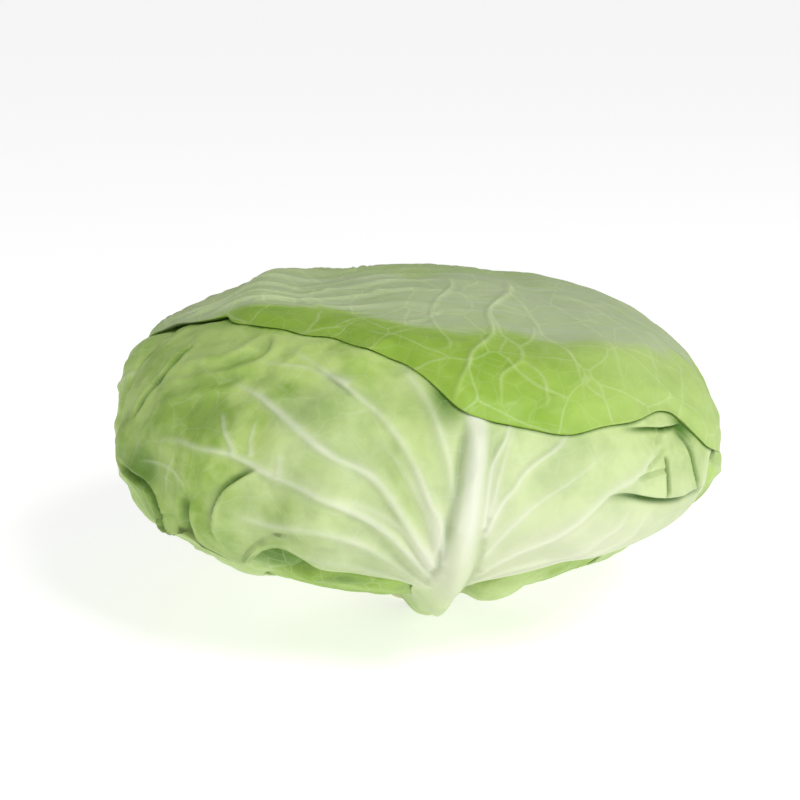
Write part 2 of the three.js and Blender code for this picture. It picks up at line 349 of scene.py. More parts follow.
TOP = TopLeaf(
    margin=[
        [-180, 15], [-165, 22], [-150, 39], [-132, 61], [-114, 86], [-99, 106], [-86, 115.5], [-77, 120.5],
        [-71, 124.5], [-60, 124.5], [-44, 127], [-28, 127], [-13, 124], [-4, 121], [0, 118], [4, 114],
        [8, 110], [13, 108], [22, 105], [30, 103], [45, 104], [54, 102.5], [57.5, 98.5], [62, 94.5], [69, 92],
        [84, 89.5], [100, 86], [125, 70], [145, 46], [162, 24], [180, 15],
    ],
    rib_x=[[-95, 13], [-43, 28], [0, 33], [60, 24], [TOP_RIB_BACK, 6]],
)

LEAVES = {
    "low_left_leaf": {"shape": LOW_LEFT, "lies_on": [], "grid": (120, 150)},
    "low_right_leaf": {"shape": LOW_RIGHT, "lies_on": [], "grid": (120, 150)},
    "left_leaf": {"shape": LEFT, "lies_on": [LOW_LEFT], "grid": (210, 300)},
    "right_leaf": {"shape": RIGHT, "lies_on": [LOW_RIGHT], "grid": (210, 300)},
    "front_leaf": {"shape": FRONT, "lies_on": [LOW_LEFT, LOW_RIGHT, LEFT, RIGHT], "grid": (264, 324)},
    "top_leaf": {"shape": TOP, "lies_on": [LOW_LEFT, LOW_RIGHT, LEFT, RIGHT, FRONT], "grid": (288, 288)},
}


def covers(inside):
    """1 inside a margin and a little past it, falling to 0 over the ramp."""
    return smoothstep(inside, -MARGIN_KEEP - MARGIN_RAMP, -MARGIN_KEEP)


def inner_radius(leaf, theta, beta):
    """The radius of a leaf's inner face, over the leaves that it lies on."""
    radius = head_radius(theta, beta) + LEAF_GAP
    for under in leaf["lies_on"]:
        cover = covers(under.inside(theta, beta))
        radius = radius + cover * (BLADE + LEAF_GAP + under.rib(theta, beta, radius, DRAPE_WIDTH))
    return radius


def base_beta(leaf, theta):
    """The beta where a leaf's inner face clears the stalk, found by stepping to it."""
    beta = np.full(np.shape(theta), float(NEAR_STALK))
    for _ in range(8):
        beta = np.degrees(np.arcsin((STALK_RADIUS + LEAF_GAP) / inner_radius(leaf, theta, beta)))
    return beta


def smooth_radius(leaf, theta, beta):
    """The outer face before its veins and creases."""
    inner = inner_radius(leaf, theta, beta)
    return inner + BLADE + leaf["shape"].rib(theta, beta, inner)


# Lines drawn on a leaf

def line_on(leaf, places):
    """Points in mm along a smooth line through (theta, beta) places on a leaf."""
    theta, beta = np.array(places, float).T
    steps = np.arange(len(places))
    at = np.linspace(0, len(places) - 1, 8 * (len(places) - 1) + 1)
    theta = through(np.stack([steps, theta], -1))(at)
    beta = through(np.stack([steps, beta], -1))(at)
    return direction(theta, beta) * smooth_radius(leaf, theta, beta)[:, None]


def measure(points, line, near):
    """For the points within near mm of a line's box: which they are, how far each is from the line, on which
    side (1 is left of it, seen from outside and looking along it), and how far along, from 0 to 1."""
    flat = points.reshape(-1, 3)
    inside = np.all((flat > line.min(0) - near) & (flat < line.max(0) + near), axis=-1)
    chosen = np.flatnonzero(inside)
    places = flat[chosen]
    best = np.full(len(places), np.inf)
    side = np.ones(len(places))
    along = np.zeros(len(places))
    lengths = np.linalg.norm(np.diff(line, axis=0), axis=1)
    start = np.concatenate([[0], np.cumsum(lengths)])
    for k, (a, b) in enumerate(zip(line[:-1], line[1:])):
        step = b - a
        t = np.clip((places - a) @ step / (step @ step), 0, 1)
        off = places - a - t[:, None] * step
        distance = np.linalg.norm(off, axis=1)
        closer = distance < best
        up = np.cross(places, step)
        best = np.where(closer, distance, best)
        side = np.where(closer, np.sign(np.sum(off * up, axis=1)), side)
        along = np.where(closer, (start[k] + t * lengths[k]) / start[-1], along)
    return chosen, best, side, along


class Surface:
    """A leaf's outer face while it is shaped: its radial heights and the masks that colour it."""

    def __init__(self, name):
        self.leaf = LEAVES[name]
        self.name = name
        self.theta, self.beta = self.leaf["shape"].grid(self.leaf)
        self.normal = direction(self.theta, self.beta)
        self.radius = smooth_radius(self.leaf, self.theta, self.beta)
        self.points = self.normal * self.radius[..., None]
        self.inside = self.leaf["shape"].own_inside
        self.height = np.zeros(self.theta.shape)
        self.shift = np.zeros(self.points.shape)
        self.vein = np.zeros(self.theta.shape)
        self.pale = np.zeros(self.theta.shape)
        # deep_green_and_shade: a deeper green, mostly painted shade in creases, gaps and under margins
        self.deep_green_and_shade = np.zeros(self.theta.shape)
        # bloom_and_sheen: a grey waxy bloom that also carries a painted sheen
        self.bloom_and_sheen = np.zeros(self.theta.shape)

    def ridge(self, places, height, width, colour=0.8, glow=0.25):
        """A vein: its (start, end) height and half width in mm, how white it is, and how pale beside it."""
        line = line_on(self.leaf, places)
        chosen, away, _, along = measure(self.points, line, 4 * max(width))
        wide = width[0] + (width[1] - width[0]) * along
        high = height[0] + (height[1] - height[0]) * along
        ends = smoothstep(along, 0, 0.05) * (1 - smoothstep(along, 0.75, 1))
        self.height.flat[chosen] += high * ends * np.exp(-((away / wide) ** 2))
        fading = ends * (1 - 0.5 * along) * (0.7 + 0.3 * noise(self.points.reshape(-1, 3)[chosen], 11, 7))
        self.vein.flat[chosen] = np.maximum(
            self.vein.flat[chosen], colour * fading * np.exp(-((away / (0.7 * wide)) ** 2))
        )
        self.pale.flat[chosen] += glow * fading * np.exp(-((away / (2.2 * wide)) ** 2))

    def groove(self, places, depth, width, deep_green_and_shade=0.0, lips=0.0):
        """A crease: its depth and half width in mm, its painted shade (a deeper green), and how high the leaf
        stands beside it.
        """
        line = line_on(self.leaf, places)
        chosen, away, _, along = measure(self.points, line, 4 * width)
        ends = smoothstep(along, 0, 0.2) * (1 - smoothstep(along, 0.8, 1))
        beside = np.exp(-(((away - 1.6 * width) / (0.9 * width)) ** 2))
        self.height.flat[chosen] += ends * (lips * beside - depth * np.exp(-((away / width) ** 2)))
        tint = deep_green_and_shade * ends * np.exp(-((away / (1.2 * width)) ** 2))
        self.deep_green_and_shade.flat[chosen] = np.maximum(self.deep_green_and_shade.flat[chosen], tint)

    def lap(self, places, lip, drop, reach, overhang=0.6, deep_green_and_shade=1.0):
        """A fold: on the left of the line, looking along it, the leaf stands up to a lip that leans over the
        line, and on the right it dips under the lip."""
        line = line_on(self.leaf, places)
        chosen, away, which, along = measure(self.points, line, 2.5 * reach)
        off = away * which
        ends = smoothstep(along, 0, 0.3) * (1 - smoothstep(along, 0.7, 1))
        near = np.maximum(off, 0) / reach
        raised = lip * np.exp(-(near ** 1.5))
        sunk = -drop * np.exp(-((np.minimum(off, 0) / (0.45 * reach)) ** 2))
        step = smoothstep(off, -0.8, 0.8)
        self.height.flat[chosen] += ends * (step * raised + (1 - step) * sunk)
        across = np.cross(self.points.reshape(-1, 3)[chosen], line[-1] - line[0])
        across /= np.linalg.norm(across, axis=1, keepdims=True)
        lean = overhang * step * ends * np.exp(-((2 * near) ** 2))
        self.shift.reshape(-1, 3)[chosen] -= lean[:, None] * across
        # Just under the lip the leaf gets painted shade, a deeper green.
        beyond = np.minimum(off + overhang, 0)
        tint = deep_green_and_shade * ends * np.exp(-((beyond / 1.6) ** 2)) * (1 - smoothstep(off, -0.2, 0.6))
        self.deep_green_and_shade.flat[chosen] = np.maximum(self.deep_green_and_shade.flat[chosen], tint)

    def swell(self, at, spread, height):
        self.height += height * bump(self.theta, self.beta, at, spread)

    # Painted shade: a deeper green put where shade falls.
    def paint_shade(self, at, spread, amount=1.0):
        self.deep_green_and_shade = np.maximum(self.deep_green_and_shade, amount * bump(self.theta, self.beta, at, spread))

    def cushioned(self, size, seed, height, strength=1.0, stretch=(1, 1, 1)):
        """The blade stands up in small cushions, with a net of valleys between them."""
        bend = np.stack([noise(self.points, size, seed + axis) for axis in range(3)], -1)
        border = net((self.points + 0.22 * size * bend) * np.array(stretch), size, seed + 3)
        self.height += height * strength * smoothstep(border, 0, 0.3 * size)

    def settle_edges(self, drop=EDGE_DROP, reach=EDGE_REACH):
        """The margin comes down onto the leaf below."""
        self.height -= drop * (1 - smoothstep(self.inside, 0, reach))

    def tuck_under(self, *covering, dip=0.0, shade=0.8):
        """Under the leaves that cover it, a leaf is evened out, which leaves them more room. Beside their
        margins it dips, and gets painted shade, a deeper green."""
        for shape in covering:
            inside = shape.inside(self.theta, self.beta)
            raised = 1 - smoothstep(inside, -4, -0.5)
            sunk = 1 - smoothstep(inside, -2, 0.5)
            self.height *= np.where(self.height > 0, raised, sunk)
            self.height -= dip * smoothstep(inside, -2.5, -0.5) * (1 - smoothstep(inside, 1, 4))
            self.deep_green_and_shade = np.maximum(self.deep_green_and_shade, 0.9 * smoothstep(inside, -shade, -0.2 * shade))

    def outer(self):
        return self.normal * (self.radius + self.height)[..., None] + self.shift


# Meshes

def lowest_near(height, steps):
    """The lowest value within some grid steps, both ways."""
    for axis in (0, 1):
        padded = np.pad(height, [(steps, steps) if a == axis else (0, 0) for a in (0, 1)], mode="edge")
        height = np.min(
            [np.roll(padded, -k, axis).take(range(height.shape[axis]), axis) for k in range(2 * steps + 1)],
            axis=0,
        )
    return height


def rim_of(rows, columns):
    """Grid places round a grid's border, in order, as row and column numbers."""
    bottom = [(0, i) for i in range(columns)]
    right = [(j, columns) for j in range(rows)]
    top = [(rows, i) for i in range(columns, 0, -1)]
    left = [(j, 0) for j in range(rows, 0, -1)]
    return np.array(bottom + right + top + left)


def grid_faces(rows, columns, start, turned=False):
    a = start + np.arange(rows)[:, None] * (columns + 1) + np.arange(columns)
    faces = np.stack([a, a + 1, a + columns + 2, a + columns + 1], -1).reshape(-1, 4)
    return faces[:, ::-1] if turned else faces


def make_mesh(name, vertices, faces, masks=None):
    """A smooth mesh from vertices in mm about the head's middle, and lists of faces."""
    mesh = bpy.data.meshes.new(name)
    mesh.from_pydata((vertices * MM).tolist(), [], faces)
    mesh.shade_smooth()
    for mask, values in (masks or {}).items():
        attribute = mesh.attributes.new(mask, "FLOAT", "POINT")
        attribute.data.foreach_set("value", values.astype(np.float32))
    piece = bpy.data.objects.new(name, mesh)
    bpy.context.scene.collection.objects.link(piece)
    return piece


def leaf_piece(surface):
    """A closed leaf: its outer face, a coarser inner face, and a rounded rim."""
    rows, columns = surface.leaf["grid"]
    outer = surface.outer()
    low = lowest_near(surface.radius + surface.height, COARSE)[::COARSE, ::COARSE]
    thin = (low - EDGE_THICKNESS)[..., None]
    inner = surface.normal[::COARSE, ::COARSE] * thin + surface.shift[::COARSE, ::COARSE]
    rim = rim_of(rows, columns)
    inner_rim = rim_of(rows // COARSE, columns // COARSE)
    edge = outer[tuple(rim.T)]
    back = edge - surface.normal[tuple(rim.T)] * EDGE_THICKNESS
    inner[tuple(inner_rim.T)] = back[::COARSE]
    step_in = np.clip(rim, 1, [rows - 1, columns - 1])
    outwards = edge - outer[tuple(step_in.T)]
    outwards /= np.maximum(np.linalg.norm(outwards, axis=-1, keepdims=True), 1e-9)
    lip = (edge + back) / 2 + outwards * LIP
    vertices = np.concatenate([outer.reshape(-1, 3), inner.reshape(-1, 3), lip])
    inner_start = (rows + 1) * (columns + 1)
    lip_start = inner_start + (rows // COARSE + 1) * (columns // COARSE + 1)
    edge_ids = rim[:, 0] * (columns + 1) + rim[:, 1]
    inner_ids = inner_start + inner_rim[:, 0] * (columns // COARSE + 1) + inner_rim[:, 1]
    faces = grid_faces(rows, columns, 0).tolist()
    faces += grid_faces(rows // COARSE, columns // COARSE, inner_start, turned=True).tolist()
    count = len(rim)
    for k in range(count):
        after = (k + 1) % count
        faces.append([edge_ids[k], lip_start + k, lip_start + after, edge_ids[after]])
    for k, inner_id in enumerate(inner_ids):
        a, b, c = (lip_start + COARSE * k + step for step in range(COARSE))
        d = lip_start + (COARSE * k + COARSE) % count
        after = inner_ids[(k + 1) % len(inner_ids)]
        faces += [[a, inner_id, b], [b, inner_id, after, c], [c, after, d]]
    masks = {}
    for mask in ("vein", "pale", "deep_green_and_shade", "bloom_and_sheen"):
        values = np.clip(getattr(surface, mask), 0, 1)
        coarse = values[::COARSE, ::COARSE].ravel()
        masks[mask] = np.concatenate([values.ravel(), coarse, values[tuple(rim.T)]])
    vertices[:, 2] += WIDEST_Z
    return make_mesh(surface.name + "_grown", vertices, faces, masks)


# The front leaf: veins fan out of its thick midrib

# A vein's places, height from and to, half width from and to, whiteness.
FRONT_VEINS = [
    (
        [(4, 80), (0, 87), (-7, 97), (-15, 101), (-24, 106), (-34, 110), (-48, 112)],
        (2.4, 1.2), (2.2, 1.8), 1.0,
    ),
    (
        [(4, 77), (-5, 88), (-16, 94), (-26, 97), (-34, 99), (-41, 99), (-48, 99), (-56, 97)],
        (2.4, 1.0), (2.1, 1.3), 1.0,
    ),
    ([(3, 75), (-7, 84), (-16, 88), (-26, 88), (-31, 89), (-35, 91)], (1.8, 0.9), (2.0, 1.6), 0.7),
    ([(2, 74), (-8, 79), (-18, 82), (-26, 84)], (1.0, 0.4), (1.8, 1.4), 0.4),
    ([(3.5, 84), (2.5, 92), (-4, 105), (-14, 113), (-27, 119), (-40, 123)], (1.4, 0.9), (1.7, 1.5), 0.7),
    ([(-14, 114), (-25, 117), (-33, 117), (-42, 117)], (0.9, 0.7), (1.6, 1.4), 0.5),
    ([(4, 82), (4.2, 87), (3.6, 91), (2, 94), (0, 99), (-3, 104)], (1.5, 0.7), (1.2, 1.0), 1.0),
    ([(-33, 99), (-36, 102), (-41, 106)], (1.0, 0.5), (1.1, 0.9), 0.8),
    ([(-30, 99), (-31, 102), (-31, 106)], (0.6, 0.3), (1.0, 0.8), 0.6),
    ([(-24, 96), (-24, 98), (-24, 101)], (0.6, 0.3), (1.0, 0.8), 0.6),
    ([(-43, 92), (-48, 94), (-53, 94), (-58, 93)], (0.5, 0.3), (0.8, 0.7), 0.5),
    ([(-47, 96), (-49, 92), (-49, 88)], (0.4, 0.3), (0.8, 0.7), 0.4),
    ([(4, 79), (-2, 88), (-8, 92), (-14, 94)], (0.8, 0.4), (1.5, 1.2), 0.6),
    (
        [(4.5, 60), (5.6, 72), (6.8, 82), (8.5, 91), (10, 98), (11.2, 104), (12.5, 112)],
        (4.4, 2.6), (6.2, 3.4), 0.0,
    ),
    ([(3.5, 81), (2, 90), (-2, 98), (-8, 105)], (0.8, 0.4), (1.4, 1.1), 0.5),
    ([(11, 88), (11.6, 92), (12.5, 96), (14, 100), (17, 104), (20, 109)], (1.6, 0.9), (1.2, 0.9), 1.0),
    ([(11, 86), (14, 92), (17, 95), (20, 98), (27, 102), (31, 106)], (1.1, 0.6), (1.2, 1.0), 0.8),
    ([(11, 82), (15, 87), (21, 92), (28, 96), (36, 100)], (0.7, 0.4), (1.1, 0.9), 0.5),
    ([(10.5, 78), (16, 82), (23, 85), (29, 89), (35, 93), (41, 95), (48, 99)], (2.0, 1.3), (1.8, 1.8), 1.0),
    ([(10.5, 75.5), (18, 78), (29, 80), (34, 84), (37, 86), (40, 91)], (1.3, 0.7), (1.5, 1.2), 0.9),
    ([(12, 75), (28, 78), (38, 81), (42, 85), (45, 90)], (1.0, 0.5), (1.4, 1.1), 0.7),
    ([(12, 90), (14, 96), (17, 102), (20, 107)], (0.6, 0.4), (1.0, 0.8), 0.4),
]
# A crease's places, depth, half width, painted shade (a deeper green), and the height beside it.
FRONT_GROOVES = [
    (
        [(-66, 116.5), (-64.7, 114), (-63, 111.5), (-62.5, 108.6), (-64, 105.7), (-64.4, 102), (-65, 98)],
        3.0, 1.7, 1.0, 0.6,
    ),
    ([(-66, 91), (-57, 90), (-53, 88.5), (-51, 85), (-52, 81), (-53, 77)], 2.4, 1.3, 1.0, 1.2),
    ([(-50, 125), (-43, 120), (-46, 116), (-50, 113), (-60, 109)], 1.9, 3.2, 0.3, 1.2),
    ([(-40, 113), (-49, 110), (-53, 108), (-60, 104)], 1.6, 2.8, 0.3, 1.0),
    ([(-18, 111), (-30, 113), (-40, 114)], 1.3, 3.0, 0.2, 0.8),
    ([(-12, 111), (-19, 115), (-26, 118)], 0.9, 1.0, 0.2, 0.3),
    ([(-43, 91), (-44, 86), (-45, 81), (-48, 75)], 3.4, 2.6, 0.8, 1.2),
    ([(48, 96.5), (47.5, 93.5), (47, 89.5)], 2.0, 0.9, 1.0, 0.7),
    ([(54.5, 99.5), (55.5, 95), (55.7, 92), (57, 88)], 2.4, 1.1, 1.0, 0.8),
    ([(39, 94), (43, 94), (48, 94)], 0.8, 0.8, 0.2, 0.4),
    ([(42, 95), (46, 96.5), (49, 98)], 0.8, 0.8, 0.2, 0.3),
    ([(46, 98), (48, 100), (52, 101)], 0.8, 0.9, 0.2, 0.4),
    ([(1.5, 76), (3.6, 83), (5.4, 91), (6.8, 97), (8.6, 104), (9.6, 110)], 1.8, 1.5, 0.4, 0.0),
    ([(8.8, 68), (10, 76), (11, 85), (12, 93), (13.5, 100), (15, 107)], 1.2, 1.5, 0.15, 0.0),
]
# A fold's places, lip, drop, reach and overhang.
FRONT_LAPS = [
    ([(-27, 98), (-31, 95.5), (-34, 93), (-35.5, 90), (-36, 86), (-36, 81)], 2.8, 1.8, 9, 0.5),
    ([(32, 92), (38, 92), (45, 90), (51, 89), (56, 89), (63, 87)], 2.2, 1.0, 7, 1.4),
    ([(38, 103), (45, 102), (50, 101), (58, 100), (62, 99)], 1.8, 1.4, 3.5, 0.8),
]
CURVED_RIB = [(6, 88), (6, 97), (4, 106), (1, 113), (-4, 120), (-10, 124)]


def front_surface():
    leaf = Surface("front_leaf")
    theta, beta, points = leaf.theta, leaf.beta, leaf.points
    left_side = smoothstep(-theta, -5, 35)
    from_base = np.hypot((theta - 5) * np.where(theta < 5, 1.0, 0.45), (beta - 75) * 0.9)
    leaf.pale = 0.86 - from_base / 50 + 0.3 * layered_noise(points, 19, 5) * left_side
    leaf.pale -= 0.3 * bump(theta, beta, (-1, 92), (6, 16)) + 0.35 * bump(theta, beta, (5, 68), (9, 9))
    leaf.pale += 0.3 * smoothstep(theta, 12, 35) * smoothstep(-beta, -94, -82)
    # Less pale in the pocket under the top leaf's margin, where painted shade goes below.
    leaf.pale *= 1 - 0.5 * bump(theta, beta, (5, 113), (5, 6))
    # A deeper green on the far left and low on the left, partly painted shade of the side away from the
    # light.
    leaf.deep_green_and_shade = 0.22 * smoothstep(-theta, 38, 60) + 0.22 * left_side * smoothstep(-beta, -92, -80)
    leaf.height += (0.5 + 2.3 * left_side) * layered_noise(points, 25, 3) * smoothstep(beta, 70, 88)
    leaf.height -= 3.5 * bump(theta, beta, (4.5, 56), (20, 10))
    folded = 1 - 2 * np.abs(layered_noise(points, 22, 15))
    leaf.height += left_side * folded * smoothstep(beta, 74, 88)
    for vein in FRONT_VEINS:
        leaf.ridge(*vein)
    leaf.ridge(CURVED_RIB, (0.8, 2.6), (1.8, 3.0), 0.5)
    for crease in FRONT_GROOVES:
        leaf.groove(*crease)
    for fold in FRONT_LAPS:
        leaf.lap(*fold)
    leaf.swell((-36, 84), (9, 8), 3.0)
    leaf.swell((-51, 82), (4, 7), 2.0)
    leaf.swell((46, 83), (12, 5), 1.5)
    leaf.swell((-24, 103), (9, 6), 1.2)
    leaf.swell((5, 114), (2.5, 5), -0.6)
    # Painted shade in the pocket under the top leaf's margin, in hollows among the left folds, and in the
    # hole by the right fold.
    leaf.paint_shade((6, 113), (3, 6), 0.9)
    leaf.paint_shade((-56, 92), (8, 5), 0.7)
    leaf.paint_shade((-44, 104), (9, 4), 0.4)
    leaf.paint_shade((-50, 99), (6, 3), 0.35)
    leaf.paint_shade((-22, 108), (6, 3), 0.3)
    leaf.swell((55, 99), (3, 2.5), -1.6)
    leaf.paint_shade((56, 99.5), (3, 2.5))
    leaf.cushioned(14, 21, 0.35, strength=smoothstep(from_base, 18, 40))
    across = np.radians(turn(theta, FRONT.middle(beta))) * leaf.radius * np.sin(np.radians(beta))
    rib = np.exp(-np.abs(across / (3.8 + 2.5 * smoothstep(-beta, -95, -70))) ** 3)
    shown = smoothstep(beta, 76, 92) * (1 - smoothstep(beta, 108, 122))
    leaf.vein = np.maximum(leaf.vein * smoothstep(beta, 72, 88), 0.85 * rib * shown)
    standing = 0.5 * bump(theta, beta, (-30, 80), (14, 6)) + 0.7 * bump(theta, beta, (61, 92), (4, 6))
    leaf.settle_edges(EDGE_DROP * (1 - 0.9 * np.clip(standing, 0, 1)))
    leaf.tuck_under(TOP)
    return leaf


# The top leaf: a raised net of veins, and long wrinkles gathered at its left tip

TOP_VEINS = [
    (
        [(94, 149), (51, 145), (34, 140), (26, 130), (15, 123), (12, 119), (8, 113), (7, 107)],
        (1.2, 1.0), (1.1, 0.9), 0.9,
    ),
    (
        [(65, 169), (22, 155), (14, 151), (8, 144), (7, 138), (8, 132), (9, 125), (4, 123), (1, 119)],
        (0.9, 0.5), (0.9, 0.7), 0.7,
    ),
    (
        [(34, 140), (31, 134), (28, 128), (28, 123), (25, 119), (19, 116), (17, 111), (16, 107)],
        (0.8, 0.6), (0.8, 0.7), 0.7,
    ),
    ([(28, 123), (32, 124), (37, 126), (45, 131)], (0.6, 0.4), (0.7, 0.6), 0.6),
    ([(25, 119), (27, 114), (25, 108)], (0.5, 0.3), (0.7, 0.6), 0.5),
    ([(70, 150), (54, 138), (42, 127), (38, 118), (35, 112), (33, 106)], (0.8, 0.6), (0.8, 0.7), 0.7),
    ([(80, 142), (62, 128), (52, 118), (46, 112), (43, 106)], (0.7, 0.5), (0.8, 0.7), 0.6),
    ([(88, 138), (72, 124), (62, 115), (54, 108), (51, 104)], (0.7, 0.5), (0.8, 0.7), 0.6),
    ([(95, 130), (82, 115), (72, 106), (64, 98)], (0.7, 0.5), (0.8, 0.7), 0.6),
    ([(104, 122), (92, 108), (82, 99), (76, 93)], (0.7, 0.5), (0.8, 0.7), 0.6),
    ([(0, 134), (-5, 131), (-9, 129), (-16, 131)], (0.4, 0.3), (0.7, 0.6), 0.5),
    ([(-22, 138), (-26, 134), (-29, 130)], (0.4, 0.3), (0.7, 0.6), 0.5),
    (
        [(176, 20), (177, 60), (177, 100), (172, 122), (158, 138), (128, 147), (94, 149)],
        (1.2, 0.8), (3.0, 1.6), 0.9,
    ),
]
TOP_WRINKLES = [
    ([(-86, 117), (-80, 128), (-72, 137), (-52, 145), (-38, 151)], 0.7, 1.4),
    ([(-70, 130), (-65, 138), (-51, 140), (-40, 140), (-29, 141), (-17, 145)], 0.7, 1.3),
    ([(-90, 130), (-80, 145), (-52, 155), (-21, 158), (10, 163)], 0.7, 1.4),
    ([(-4, 138), (3, 139), (8, 142), (16, 145)], 0.5, 1.0),
    ([(-98, 125), (-98, 138), (-105, 150), (-115, 162)], 0.7, 1.4),
]
# Where the grey bloom starts on the top leaf, by heading: a waxy bloom that also carries a painted sheen.
BLOOM_AND_SHEEN_EDGE = through(
    [[-90, 110], [-76, 122], [-72, 126], [-60, 133], [-47, 137.5], [-29, 139], [0, 135], [14, 132], [26, 130],
     [39, 125], [60, 113], [100, 104]]
)
TIP = np.array([-160.0, -10.0])  # where the small wrinkles would meet, in plan
WRINKLE_STEP = 4.6  # degrees between them


def top_surface():
    leaf = Surface("top_leaf")
    theta, beta, points = leaf.theta, leaf.beta, leaf.points
    in_front = smoothstep(-points[..., 1], -20, 40)
    leaf.height += 0.8 * layered_noise(points, 34, 31)
    for vein in TOP_VEINS:
        leaf.ridge(*vein, glow=0.1)
    for side in (-1, 1):
        for start in (28, 46, 64, 82, 100, 116):
            places = [(176 + side * 46 * share, start + 26 * share ** 0.8) for share in (0.03, 0.3, 0.6, 1.0)]
            leaf.ridge(places, (1.3, 0.5), (2.2, 1.1), 0.8)
    for places, height, width in TOP_WRINKLES:
        leaf.ridge(places, (height, height), (width, width), 0.2, 0.0)
        leaf.groove([(t, b - 1.6) for t, b in places], 0.5, 1.0)
    right = smoothstep(points[..., 0], -30, 10)
    leaf.cushioned(15, 51, 0.35, strength=np.clip(right + 0.35, 0, 1), stretch=(1.1, 0.9, 0.9))
    plan = points[..., :2] - TIP
    fan = np.degrees(np.arctan2(plan[..., 1], plan[..., 0])) + 1.8 * noise(points, 26, 61)
    lines = (0.5 + 0.5 * np.cos(2 * np.pi * fan / WRINKLE_STEP)) ** 4
    edge = BLOOM_AND_SHEEN_EDGE(np.clip(theta, -90, 100)) + 2.5 * noise(points, 16, 71)
    there = (1 - smoothstep(points[..., 0], -40, 40)) * smoothstep(beta - edge, -2, 4)
    there *= 0.6 + 0.4 * noise(points, 30, 67)
    there *= smoothstep(leaf.inside, 1, 7)
    leaf.height += 2.2 * lines * there
    # The wrinkle crests are whitened with the vein colour, a painted highlight along them.
    leaf.vein = np.maximum(leaf.vein, 0.7 * lines * there)
    leaf.swell((-77, 121), (9, 6), 1.6)
    # The grey bloom over the crown and the back: a real waxy bloom that also carries a painted sheen.
    behind = smoothstep(np.abs(theta), 95, 135)
    leaf.bloom_and_sheen = smoothstep(beta - edge, -2 - 22 * behind, 3 + 22 * behind) * (1 - 0.4 * behind)
    # Paler towards the right at the front: partly paler tissue, partly the same painted sheen as the bloom.
    leaf.pale = np.clip(leaf.pale, 0, 1) + 0.4 * smoothstep(theta, 20, 60) * in_front
    leaf.pale += (1.05 - 0.25 * layered_noise(points, 24, 35)) * (1 - smoothstep(beta, 35, 135)) * behind
    band = (1 - smoothstep(leaf.inside, 5, 15)) * smoothstep(-theta, -12, 12) * smoothstep(theta, -80, -65)
    leaf.deep_green_and_shade = 0.25 * band
    leaf.settle_edges(TOP_EDGE_DROP)
    return leaf


# The side leaves

# Where the side leaves bulge beside the front leaf's margins.
LEFT_SWELLS = [((-84, 104), (9, 9), 1.5), ((-66, 80), (7, 6), 2.0)]
LEFT_HOLLOW = ((-27, 80), (8, 4))  # where it sinks, with painted shade (a deeper green), under the front leaf's lowest margin
RIGHT_SWELLS = [((76, 88), (12, 10), 2.5)]
LEFT_DIP = 1.2  # how far the leaf sinks beside the margins that lie on it
RIGHT_DIP = 0.4


def side_surface(name, seed, covering, swells, dip, hollow=None):
    leaf = Surface(name)
    theta, beta, points = leaf.theta, leaf.beta, leaf.points
    shape = leaf.leaf["shape"]
    leaf.height += 1.2 * layered_noise(points, 24, seed)
    for side in (-1, 1):
        for number, start in enumerate((38, 52, 66, 80, 94)):
            rise = 12 + 7 * number
            places = [
                (float(shape.middle(start)) + side * share * (54 - 4 * number), start + rise * share ** 0.8)
                for share in (0.02, 0.25, 0.5, 0.75, 1.0)
            ]
            leaf.ridge(places, (1.3, 0.4), (1.8, 1.1), 0.7)
    rib = np.exp(-((turn(theta, shape.middle(beta)) / 4) ** 2)) * (1 - smoothstep(beta, 95, 130))
    leaf.vein = np.maximum(leaf.vein, 0.8 * rib)
    leaf.pale += 0.9 * (1 - smoothstep(beta, 30, 85))
    leaf.cushioned(13, seed + 9, 0.8)
    for at, spread, height in swells:
        leaf.swell(at, spread, height)
    if hollow:
        leaf.swell(*hollow, -2.0)
        # Painted shade in the hollow.
        leaf.paint_shade(*hollow)
    leaf.settle_edges()
    leaf.tuck_under(*covering, dip=dip, shade=0.6 + dip)
    return leaf


def low_surface(name, seed):
    leaf = Surface(name)
    leaf.height += 0.8 * layered_noise(leaf.points, 20, seed)
    leaf.pale += 0.6 * (1 - smoothstep(leaf.beta, 20, 60))
    leaf.pale += 0.6 * bump(leaf.theta, leaf.beta, (18, 68), (14, 9))
    leaf.cushioned(11, seed + 9, 0.5)
    return leaf


def low_left_surface():
    leaf = low_surface("low_left_leaf", 101)
    leaf.swell((-8, 70), (7, 4), 3.0)
    leaf.swell((-23, 74), (8, 3), 4.0)
    leaf.swell((-38, 73), (8, 3), 1.0)
    leaf.swell((-25, 81), (6, 3), -2.0)
    # Painted shade in the hollow under the front leaf's margin and in the gap between two swells.
    leaf.paint_shade((-25, 80.5), (8, 4))
    leaf.paint_shade((-15, 74), (5, 2.5), 0.7)
    leaf.settle_edges()
    leaf.tuck_under(FRONT)
    return leaf


def low_right_surface():
    leaf = low_surface("low_right_leaf", 121)
    leaf.swell((17, 68), (8, 5), 8.0)
    leaf.swell((34, 70), (8, 4), 2.0)
    leaf.settle_edges()
    leaf.tuck_under(FRONT)
    return leaf


# The inner head and the stalk

